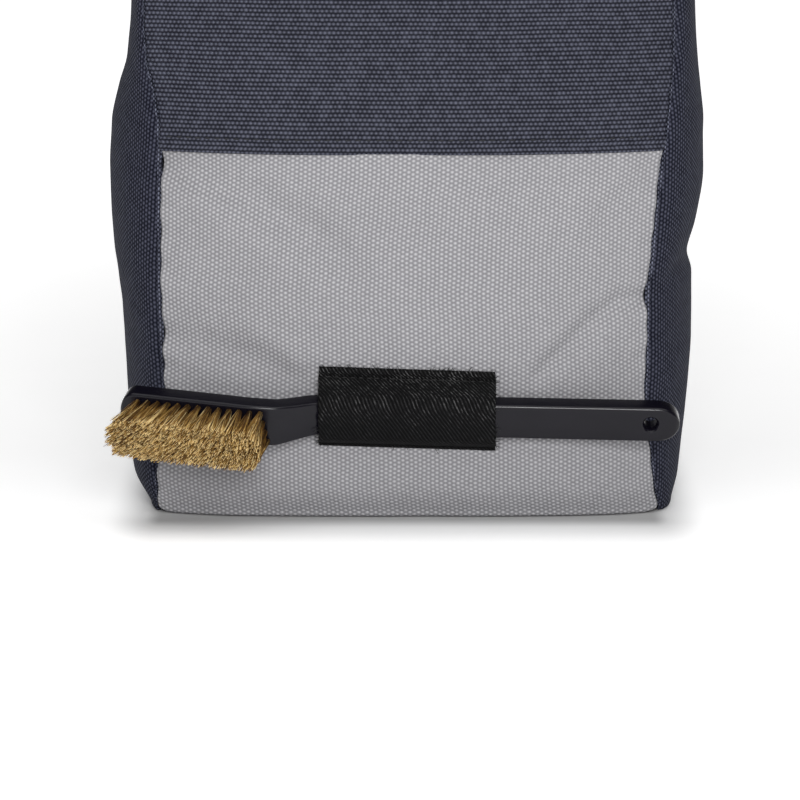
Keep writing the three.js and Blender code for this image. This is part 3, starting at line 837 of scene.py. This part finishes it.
def outline_ring(z, out, smooth):
    """The bag's whole outline at a height as evenly spaced points, with its corners softened."""
    ring = np.concatenate([panel_points(panel, np.linspace(0.03, 0.97, 160), z, out) for panel in PLANS])
    closed = np.concatenate([ring, ring[:1]])
    run = run_of(closed)
    ring = on_line(np.linspace(0, run[-1], OUTLINE_POINTS, endpoint=False), run, closed)
    for _ in range(smooth):
        ring = 0.5 * ring + 0.25 * (np.roll(ring, 1, axis=0) + np.roll(ring, -1, axis=0))
    return ring


def ring_uv(rings):
    """Places on a band of rings: along each ring, and across from ring to ring."""
    along, over = run_of(rings[:, 0]), run_of(rings[0])
    return np.stack(np.broadcast_arrays(along[:, None], over), axis=-1).reshape(-1, 2)


def rim_profile():
    """The hem's section, from its outer lower edge over the top to its inner lower edge."""
    low, top = HEM_FOOT, BAG_HEIGHT
    outside, inside = HEM_PROUD, -WALL - HEM_PROUD
    half = (outside - inside) / 2
    middle = (outside + inside) / 2
    profile = [(outside - 0.9, low - 0.25), (outside - 0.35, low - 0.35), (outside, low + 0.1)]
    profile += [(outside, z) for z in np.linspace(low + 0.8, top - half - 0.3, 15)]
    turns = np.linspace(0, math.pi, 11)
    profile += [(middle + half * math.cos(a), top - half + half * math.sin(a)) for a in turns]
    profile += [(inside, z) for z in np.linspace(top - half - 0.3, low + 0.8, 12)]
    profile += [(inside + 0.35, low - 0.2), (inside + 0.9, low - 0.1)]
    return profile


def rim_ring_stack():
    stack = []
    for out, z in rim_profile():
        drawn = 0.35 * bump(z, HEM_STITCH_UP, 0.6)
        puff = 0.25 * bump(z, HEM_STITCH_UP + 5, 4)
        out = out + (puff - drawn) * (1 if out > -WALL / 2 else -1)
        stack.append(outline_ring(z, out, 40))
    rings = np.stack(stack, axis=1)
    # The rim waves a little, as soft cloth does
    angle = np.linspace(0, 2 * math.pi, len(rings), endpoint=False)
    wave = 0.5 * np.sin(3 * angle + 0.6) + 0.35 * np.sin(5 * angle + 2)
    share = np.clip((rings[:, :, 2] - HEM_FOOT) / HEM_HEIGHT, 0, 1)
    rings[:, :, 2] += (wave[:, None] - 0.75) * share
    return rings


rim_rings = rim_ring_stack()
rim = loft("rim_hem_cloth", rim_rings, BAND, closed=True, uv=ring_uv(rim_rings))
put(rim, "navy_cloth", "rim_hem")


def base_mesh():
    """The base: a flat cloth with a rounded edge, sewn in at the foot of the walls."""
    half = BASE_THICKNESS / 2
    turns = np.linspace(-math.pi / 2, math.pi / 2, 9)
    edge = [(BASE_INSET - half + half * math.cos(a), half + half * math.sin(a)) for a in turns]
    stack = []
    for out, z in edge:
        ring = outline_ring(WALL_FOOT, out, 12)
        ring[:, 2] = z
        stack.append(ring)
    centre = np.append(stack[0][:, :2].mean(axis=0), 0)
    below, above = [], []
    for share in (0.97, 0.9, 0.75, 0.5, 0.25, 0.02):
        below.insert(0, centre + (stack[0] - centre) * share)
        above.append(centre + (stack[-1] - centre) * share)
        above[-1][:, 2] = BASE_THICKNESS + 0.25 * (1 - share)
    rings = np.stack(below + stack + above)
    return loft("base_cloth", rings, NAVY, uv=rings[:, :, :2].reshape(-1, 2))


put(base_mesh(), "navy_cloth", "base_panel")


# Stitches


def stitch_run(points, normals, material, name, pitch, length, radius, sink):
    """A row of stitches along evenly spaced places on the cloth."""
    run = run_of(points)
    rng = random.Random(len(points))
    vertices, faces, uvs = [], [], []
    sides, rings = 6, 6
    for k in range(int(run[-1] / pitch)):
        start = (k + 0.5) * pitch - length / 2 + rng.uniform(-0.12, 0.12)
        base = len(vertices)
        for r in range(rings):
            s = r / (rings - 1)
            at = start + length * s
            place = on_line(at, run, points)
            normal = on_line(at, run, normals)
            ahead = on_line(at + 0.1, run, points) - place
            ahead /= np.linalg.norm(ahead) + 1e-9
            sideways = np.cross(ahead, normal)
            arch = math.sin(math.pi * s)
            girth = radius * (0.55 + 0.45 * arch**0.5)
            place = place + normal * (arch * radius * 0.9 - sink)
            for c in range(sides):
                turn = 2 * math.pi * c / sides
                vertices.append(place + girth * (math.cos(turn) * sideways + math.sin(turn) * normal))
                uvs.append((length * s, radius * turn))
        for r in range(rings - 1):
            for c in range(sides):
                a, b = base + r * sides + c, base + r * sides + (c + 1) % sides
                faces.append((a, b, b + sides, a + sides))
        faces.append(tuple(base + c for c in range(sides - 1, -1, -1)))
        last = base + (rings - 1) * sides
        faces.append(tuple(last + c for c in range(sides)))
    return link_mesh(name, np.array(vertices), faces, material, uvs)


def unit(vectors):
    return vectors / np.linalg.norm(vectors, axis=-1, keepdims=True)


band_t = np.linspace(0.012, 0.988, 420)
band_z = np.full(len(band_t), PALE_TOP + STITCH_UP)
band_near = band_t * FRONT_CLOTH_WIDTH
band_lift = band_relief(band_t, band_z, band_near, FRONT_CLOTH_WIDTH - band_near)
band_line = panel_points("front", band_t, band_z, band_lift)
band_normals = unit(panel_points("front", band_t, band_z, band_lift + 1) - band_line)
put(stitch_run(band_line, band_normals, NAVY_THREAD, "band_stitches", **CLOTH_STITCH), "navy_cloth")

hem_column = int(np.argmin([abs(z - HEM_STITCH_UP) if out > 0 else 99 for out, z in rim_profile()]))
hem_line = rim_rings[:, hem_column]
hem_line = np.concatenate([hem_line, hem_line[:1]])
hem_tangent = unit(np.roll(hem_line, -1, axis=0) - np.roll(hem_line, 1, axis=0))
hem_normals = unit(np.stack([hem_tangent[:, 1], -hem_tangent[:, 0], 0 * hem_tangent[:, 0]], axis=-1))
hem_normals[0] = hem_normals[1]
hem_normals[-1] = hem_normals[-2]
put(stitch_run(hem_line, hem_normals, NAVY_THREAD, "hem_stitches", **CLOTH_STITCH), "navy_cloth")

# The brush

brush = curves_of(BRUSH_STATIONS, "along")


def brush_x(along):
    return (along - 0.5) * BRUSH_LENGTH


def half_width_at(along):
    return float(brush["width"](along)) * HEAD_WIDTH / 2


def forward_at(along):
    return float(brush["forward"](along)) * NECK_FORWARD


def round_end(distance, length):
    return np.sqrt(np.maximum(0, 1 - (1 - np.minimum(1, distance / length)) ** 2))


def brush_section(count):
    """The turns round a rounded rectangle's corners, each with its corner's number."""
    turns = [k / (count - 1) for k in range(count)]
    return [(quarter, math.pi / 2 * (quarter + turn)) for quarter in range(4) for turn in turns]


def brush_rings():
    ends = 1 - np.cos(np.linspace(0, math.pi / 2, 14))
    head = ends * HEAD_ROUND * HEAD_WIDTH / BRUSH_LENGTH
    tail = 1 - ends[::-1] * HANDLE_ROUND * HEAD_WIDTH / BRUSH_LENGTH
    alongs = np.concatenate([head, np.linspace(head[-1], tail[0], 150)[1:-1], tail])
    half_t = BRUSH_THICKNESS / 2
    rings = []
    for along in alongs:
        taper = round_end(along * BRUSH_LENGTH, HEAD_ROUND * HEAD_WIDTH)
        taper *= round_end((1 - along) * BRUSH_LENGTH, HANDLE_ROUND * HEAD_WIDTH)
        half_w = max(0.08, float(taper)) * half_width_at(along)
        # The ends thin down a little, so that their edges are as round as the sides'
        thin = half_t * (0.62 + 0.38 * min(1.0, float(taper) * 1.6))
        edge = min(BRUSH_EDGE, half_w * 0.48, thin * 0.48)
        middle = -forward_at(along)
        slope = forward_at(along + 1e-3) - forward_at(along - 1e-3)
        lean = math.atan2(-slope, 2e-3 * BRUSH_LENGTH)
        ring = []
        for quarter, turn in brush_section(6):
            y = math.cos(turn) * edge + (thin - edge) * (1 if quarter in (0, 3) else -1)
            z = math.sin(turn) * edge + (half_w - edge) * (1 if quarter in (0, 1) else -1)
            ring.append((brush_x(along) - y * math.sin(lean), middle + y * math.cos(lean), z))
        rings.append(ring)
    return np.array(rings)


def cut(obj, cutter):
    """Cuts one closed mesh out of another for good."""
    modifier = obj.modifiers.new("cut", "BOOLEAN")
    modifier.operation = "DIFFERENCE"
    modifier.solver = "EXACT"
    modifier.object = cutter
    bpy.context.view_layer.update()
    result = bpy.data.meshes.new_from_object(obj.evaluated_get(bpy.context.evaluated_depsgraph_get()))
    obj.modifiers.clear()
    old = obj.data
    obj.data = result
    bpy.data.meshes.remove(old)
    bpy.data.objects.remove(cutter)


def turned_body(name, profile):
    """A body turned about the brush's thickness direction."""
    turns = np.linspace(0, 2 * math.pi, 48, endpoint=False)
    rings = []
    for radius, y in profile:
        ring = np.stack([radius * np.cos(turns), np.full(len(turns), y), radius * np.sin(turns)], axis=-1)
        rings.append(ring + np.array([brush_x(1) - HOLE_FROM_END, 0, HOLE_RISE]))
    return loft(name, np.array(rings), PLASTIC, sharp_deg=32)


def brush_handle():
    handle = loft("brush_handle_body", brush_rings(), PLASTIC, sharp_deg=32)
    half = BRUSH_THICKNESS / 2
    profile = [(SINK_RADIUS + 0.5, -half - 0.3), (SINK_RADIUS + 0.05, -half + 0.05)]
    profile += [(SINK_RADIUS - 0.25, -half + 0.35), (HOLE_RADIUS, -half + SINK_DEPTH)]
    profile += [(HOLE_RADIUS, half - 0.5), (HOLE_RADIUS + 0.5, half + 0.05), (HOLE_RADIUS + 0.7, half + 0.5)]
    cut(handle, turned_body("hole_cutter", profile))
    handle.data.polygons.foreach_set("use_smooth", np.ones(len(handle.data.polygons), bool))
    sharpen(handle.data, math.radians(32))
    return handle


handle = brush_handle()
holder = Matrix.Rotation(BRUSH_SLANT, 4, "Y") @ Matrix.Rotation(BRUSH_DROOP, 4, "X")
holder.translation = Vector((BRUSH_MIDDLE, 0, BRUSH_HEIGHT)) * MM
corners = [holder @ vertex.co for vertex in handle.data.vertices]
cad_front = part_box("brush_handle")[0][1]
holder.translation.y += cad_front - min(corner.y for corner in corners)
handle.data.transform(holder)
# The mould's long sides are duller than its face
handle.data.materials.append(PLASTIC_SIDE)
for face in handle.data.polygons:
    face.material_index = 1 if abs(face.normal.z) > 0.8 else 0
put(handle, "black_plastic", "brush_handle")


def head_frame():
    """The head's middle and its lean, in the brush's own frame."""
    def on_head(along):
        return np.array([brush_x(along), -forward_at(along)])

    run = on_head(BRISTLED_TO) - on_head(BRISTLED_FROM)
    return on_head((BRISTLED_FROM + BRISTLED_TO) / 2), math.atan2(run[1], run[0])


HAIRS_PER_TUFT = 165
HAIR_RADIUS = 0.1
HAIR_RINGS = 4


def bristles():
    rng = random.Random(11)
    middle, lean = head_frame()
    half_long = (TUFT_COLUMNS - 1) * TUFT_PITCH / 2
    half_wide = (TUFT_ROWS - 1) * TUFT_ROWS_PITCH / 2
    rooted = BRUSH_THICKNESS / 2 - 0.3

    def place(u, v, share):
        length = BRISTLE_LENGTH + BRISTLE_SLANT * u / half_long
        swept = TUFT_STAGGER * v * (1 - share) + SWEPT_TO_TIP * share
        return Vector((
            u * (1 + SPREAD_ALONG * share / half_long) - swept,
            -rooted - share * length,
            v * (1 + SPREAD_ACROSS * share / half_wide),
        ))

    def in_disc(radius):
        reach, turn = radius * math.sqrt(rng.random()), rng.uniform(0, 2 * math.pi)
        return reach * math.cos(turn), reach * math.sin(turn)

    turn_head = Matrix.Rotation(lean, 4, "Z")
    head_at = Vector((middle[0], middle[1], 0))
    vertices, faces, tones = [], [], []
    for i in range(TUFT_COLUMNS):
        for j in range(TUFT_ROWS):
            u = -half_long + i * TUFT_PITCH
            v = -half_wide + j * TUFT_ROWS_PITCH
            tuft_tone = rng.uniform(-0.08, 0.08)
            for _ in range(HAIRS_PER_TUFT):
                du, dv = in_disc(0.75)
                root = place(u + du, v + dv, 0)
                # The block of tips is rounded at its corners
                corner = 1 - 0.1 * (u / half_long) ** 4 * (v / half_wide) ** 2
                tip = place(u * corner, v * corner, 1)
                tip += Vector((rng.uniform(-2.1, 2.1) + du * 0.5, 0, rng.uniform(-1.7, 1.7) + dv * 0.5))
                tip = root + (tip - root) * rng.uniform(0.93, 1.01)
                if rng.random() < 0.02:
                    tip += Vector((rng.uniform(-2.0, 1.4), rng.uniform(-0.6, 1.2), rng.uniform(-1.2, 1.2)))
                bend = Vector((rng.gauss(0, 0.3), 0, rng.gauss(0, 0.3)))
                tone = 0.4 + tuft_tone + rng.gauss(0, 0.34)
                add_hair(vertices, faces, tones, root, tip, bend * 0.8, tone, rng)
    points = np.array([turn_head @ Vector(p) + head_at for p in vertices])
    piece = link_mesh("brush_bristle_hairs", points, faces, HAIR)
    layer = piece.data.attributes.new("tone", "FLOAT", "POINT")
    layer.data.foreach_set("value", np.array(tones, np.float32))
    piece.data.transform(Matrix.Translation(holder.translation) @ holder.to_3x3().to_4x4())
    return piece


def add_hair(vertices, faces, tones, root, tip, bend, tone, rng):
    """One hair: a thin three-sided stem on a bent line, ending in a split tip."""
    base = len(vertices)
    run = (tip - root).normalized()
    side = run.cross(Vector((0.3, 0.2, 1))).normalized()
    other = run.cross(side)
    twist = rng.uniform(0, 2 * math.pi)
    glint = rng.gauss(0, 0.55)
    for r in range(HAIR_RINGS):
        s = r / (HAIR_RINGS - 1)
        middle = root.lerp(tip, s) + bend * (4 * s * (1 - s))
        radius = HAIR_RADIUS * (1.0 - 0.15 * s)
        for c in range(3):
            turn = twist + 2 * math.pi * c / 3
            vertices.append(middle + radius * (math.cos(turn) * side + math.sin(turn) * other))
            # Hairs are painted darker towards their roots, down between the tufts, as painted shade, and are
            # unlike each other at their split tips
            tones.append(min(1.0, max(0.0, tone - 0.3 * (1 - s) ** 2 + (0.1 + glint) * s**4)))
    for r in range(HAIR_RINGS - 1):
        for c in range(3):
            a, b = base + 3 * r + c, base + 3 * r + (c + 1) % 3
            faces.append((a, b, b + 3, a + 3))
    last = base + 3 * (HAIR_RINGS - 1)
    faces.append((last, last + 1, last + 2))
    faces.append((base + 2, base + 1, base))


put(bristles(), "bristle", "brush_bristles")

# The elastic loop


def front_face(x, z):
    """The depth of the front cloth's face, with its folds."""
    left, right = across("seam_left", z), across("seam_right", z)
    t = np.clip((x + left) / (left + right), 0, 1)
    t, z = np.atleast_1d(t), np.atleast_1d(float(z))
    lift = front_relief(t, z, t * FRONT_CLOTH_WIDTH, (1 - t) * FRONT_CLOTH_WIDTH)
    return float(panel_points("front", t, z, lift)[0][1])


def loop_line(x):
    """The elastic's inner line at one place across, as (depth, height) points."""
    drop = x * math.tan(LOOP_SLANT)
    top = LOOP_TOP - drop
    low = top - LOOP_HEIGHT
    along = (x - BRUSH_MIDDLE) / BRUSH_LENGTH + 0.5
    half_w = half_width_at(along)
    front = -BRUSH_THICKNESS / 2 - forward_at(along) - GAP

    def over(y, z):
        point = holder @ (Vector((brush_x(along), y, z)) * MM)
        return np.array([point.y, point.z]) / MM

    def on_bag(z):
        return np.array([front_face(x, z) - 0.15, z])

    corners = [
        on_bag(top), on_bag(top - LOOP_HEM), over(front, half_w + GAP),
        over(front, -half_w - GAP), on_bag(low + LOOP_FOOT), on_bag(low),
    ]
    return round_corners(corners, LOOP_CORNER)


def round_corners(points, radius):
    line = [points[0]]
    for before, here, after in zip(points, points[1:], points[2:]):
        back, ahead = before - here, after - here
        reach = min(radius, np.linalg.norm(back) * 0.45, np.linalg.norm(ahead) * 0.45)
        start = here + back / np.linalg.norm(back) * reach
        end = here + ahead / np.linalg.norm(ahead) * reach
        for s in np.linspace(0, 1, 5):
            line.append((1 - s) ** 2 * start + 2 * s * (1 - s) * here + s * s * end)
    line.append(points[-1])
    return np.array(line)


def resample(line, count):
    """A line with its points evenly spaced, and its length."""
    run = run_of(line)
    return on_line(np.linspace(0, run[-1], count), run, line), run[-1]


LOOP_ROWS = 72


def elastic_loop():
    outer, inner, uv = [], [], []
    for x in np.linspace(-LOOP_WIDTH / 2, LOOP_WIDTH / 2, 60):
        line, length = resample(loop_line(x), LOOP_ROWS)
        run = unit(np.gradient(line, axis=0))
        down = np.linspace(0, length, LOOP_ROWS)
        up = length - down
        thick = np.full(LOOP_ROWS, LOOP_CLOTH)
        # The top edge is turned under and stitched down, and so is the foot
        thick += 0.6 * np.exp(-((down / 3.1) ** 6)) - 0.6 * bump(down, LOOP_STITCH_DOWN, 0.7)
        thick -= 0.35 * bump(up, 2.4, 0.5)
        thick += rounded_edge(down, 0.6) + rounded_edge(up, 0.6)
        edge = LOOP_WIDTH / 2 - abs(x)
        thick += 0.6 * rounded_edge(np.array(edge), 0.5)
        thick += 0.12 * np.array([noise.noise(Vector((x / 7, d / 5, 3.3))) for d in down])
        ragged = 0.35 * np.array([noise.noise(Vector((np.sign(x) * 9, d / 2.2, 1.7))) for d in down])
        shift = ragged * max(0.0, 1 - edge / 1.5) * np.sign(x)
        slack = 0.45 * np.sin(math.pi * (x / LOOP_WIDTH + 0.5)) * bump(down, length * 0.45, length * 0.2)
        lifted = line + np.stack([run[:, 1], -run[:, 0]], axis=-1) * (thick + slack)[:, None]
        outer.append(np.stack([x + shift, lifted[:, 0], lifted[:, 1]], axis=-1))
        inner.append(np.stack([x + shift, line[:, 0], line[:, 1]], axis=-1))
        uv.append(np.stack([np.full(LOOP_ROWS, x), -down], axis=-1))
    outer, inner, uv = (np.array(part) for part in (outer, inner, uv))
    # Rows run across the loop and columns down it, so the grid is turned to face outwards
    flip = slice(None, None, -1)
    return sheet("brush_loop_elastic", outer[flip], inner[flip], uv[flip], ELASTIC), outer


loop_piece, loop_outer = elastic_loop()
put(loop_piece, "black_elastic", "brush_loop")


def loop_stitches():
    down = np.linalg.norm(np.diff(loop_outer[0], axis=0), axis=1).cumsum()
    row = int(np.searchsorted(down, LOOP_STITCH_DOWN)) + 1
    line = loop_outer[2:-2, row]
    sideways = loop_outer[3:-1, row] - loop_outer[1:-3, row]
    normals = unit(np.cross(sideways, loop_outer[2:-2, row + 1] - loop_outer[2:-2, row - 1]))
    if normals[0][1] > 0:
        normals = -normals
    return stitch_run(line, normals, BLACK_THREAD, "loop_stitches", **LOOP_STITCH)


put(loop_stitches(), "black_elastic")


def loop_fuzz():
    """Loose thread ends along the elastic's cut edges."""
    rng = random.Random(5)
    vertices, faces, tones = [], [], []
    edges = [(loop_outer[:, 0], 46), (loop_outer[0], 18), (loop_outer[-1], 18), (loop_outer[:, -1], 12)]
    for line, count in edges:
        for _ in range(count):
            k = rng.randrange(1, len(line) - 1)
            root = Vector(line[k]) + Vector((0, 0.3, 0))
            outward = (Vector(line[k]) - Vector(loop_outer.reshape(-1, 3).mean(axis=0))).normalized()
            tip = root + outward * rng.uniform(0.4, 1.5) + Vector([rng.uniform(-0.7, 0.7) for _ in range(3)])
            bend = Vector([rng.uniform(-0.5, 0.5) for _ in range(3)])
            add_hair(vertices, faces, tones, root, tip, bend, 0.5, rng)
    points = np.array(vertices)
    return link_mesh("loop_thread_ends", points, faces, BLACK_THREAD, points[:, [0, 2]])


put(loop_fuzz(), "black_elastic")

# Floor, light and camera

FLOOR_REACH = 40.0
FLOOR_GLOW_NEAR = 0.55
FLOOR_GLOW_FAR = 0.4
FAR_FROM, FAR_TO = 2.0, 20.0
FOOTPRINT = (0.08, 0.06)
SHADOW_REACH = (0.02, 0.05)
CONTACT_REACH = 0.3


def stage_floor():
    """A pale floor which glows more the further it is from the bag, where the lamps don't reach, and whose
    colour is darkened near the bag by a painted shadow.
    """
    mesh = bpy.data.meshes.new("floor")
    work = bmesh.new()
    bmesh.ops.create_circle(work, cap_ends=True, segments=96, radius=FLOOR_REACH)
    work.to_mesh(mesh)
    work.free()
    n = Nodes("floor_paper")
    split = n.node("ShaderNodeSeparateXYZ", [(0, n.position())])
    # How far a place is from the bag's footprint, as a share of its soft shadow's reach
    beyond = []
    for coordinate, half, reach in zip(split.outputs, FOOTPRINT, SHADOW_REACH):
        outside = n.minus(n.math("ABSOLUTE", coordinate), half)
        beyond.append(n.math("DIVIDE", n.math("MAXIMUM", outside, 0.0), reach))
    away = n.math("SQRT", n.plus(*[n.times(each, each) for each in beyond]))

    def rising(start, end, value, low=0.0):
        values = enumerate((away, start, end, low, value))
        return n.node("ShaderNodeMapRange", values, interpolation_type="SMOOTHSTEP").outputs[0]

    glow = n.plus(rising(0.0, 1.0, FLOOR_GLOW_NEAR), rising(FAR_FROM, FAR_TO, FLOOR_GLOW_FAR))
    paper = n.ramp(n.noise(n.position(), 30, 4), [(0.3, grey(0.8)), (0.7, grey(0.82))])
    # The paper's colour is darkened close to the bag's footprint: a painted contact shadow
    shaded = n.multiplied(paper, rising(0.0, CONTACT_REACH, 1.0, 0.6))
    n.set("Base Color", shaded)
    n.set("Roughness", 0.9)
    n.set("Specular IOR Level", 0.1)
    n.set("Emission Color", (1, 1, 1, 1))
    n.set("Emission Strength", glow)
    mesh.materials.append(n.material)
    floor = bpy.data.objects.new("floor", mesh)
    collection.objects.link(floor)


stage_floor()


def area_light(name, place, target, size, power):
    data = bpy.data.lights.new(name, "AREA")
    data.shape = "RECTANGLE"
    data.size, data.size_y = size
    data.energy = power
    lamp = bpy.data.objects.new(name, data)
    lamp.location = place
    lamp.rotation_euler = (Vector(target) - Vector(place)).to_track_quat("-Z", "Y").to_euler()
    collection.objects.link(lamp)


area_light("overhead", (0.0, -0.85, 1.5), (0, 0, 0.0), (2.4, 1.6), 16)
area_light("front", (0.1, -1.8, 0.62), (0, 0, 0.06), (0.62, 0.45), 21)


def studio_world():
    """Pale at the horizon, so that it joins the floor, and dimmer overhead."""
    world = bpy.data.worlds.new("studio")
    world.use_nodes = True
    tree = world.node_tree
    split = tree.nodes.new("ShaderNodeSeparateXYZ")
    tree.links.new(tree.nodes.new("ShaderNodeTexCoord").outputs["Generated"], split.inputs[0])
    ramp = tree.nodes.new("ShaderNodeValToRGB")
    for _ in range(2):
        ramp.color_ramp.elements.new(0.2)
    stops = [(0.0, 1.0), (0.08, 1.0), (0.12, 0.45), (0.4, 0.06)]
    for element, (place, value) in zip(ramp.color_ramp.elements, stops):
        element.position = place
        element.color = (value, value, value, 1)
    tree.links.new(split.outputs["Z"], ramp.inputs[0])
    tree.links.new(ramp.outputs[0], tree.nodes["Background"].inputs["Color"])
    bpy.context.scene.world = world


studio_world()
bpy.context.scene.view_settings.view_transform = "Standard"

CAMERA_RISE = math.radians(10)
CAMERA_AWAY = 1.4
CAMERA_AIM = Vector((-0.0023, 0, 0.0287))
FOCAL_PIXELS = 4121
PHOTO_PIXELS = 800
SENSOR_WIDTH = 36
camera_data = bpy.data.cameras.new("camera")
camera_data.sensor_width = SENSOR_WIDTH
camera_data.lens = SENSOR_WIDTH * FOCAL_PIXELS / PHOTO_PIXELS
camera = bpy.data.objects.new("camera", camera_data)
back = Vector((0, -math.cos(CAMERA_RISE), math.sin(CAMERA_RISE)))
camera.location = CAMERA_AIM + back * CAMERA_AWAY
camera.rotation_euler = (-back).to_track_quat("-Z", "Y").to_euler()
collection.objects.link(camera)
bpy.context.scene.camera = camera
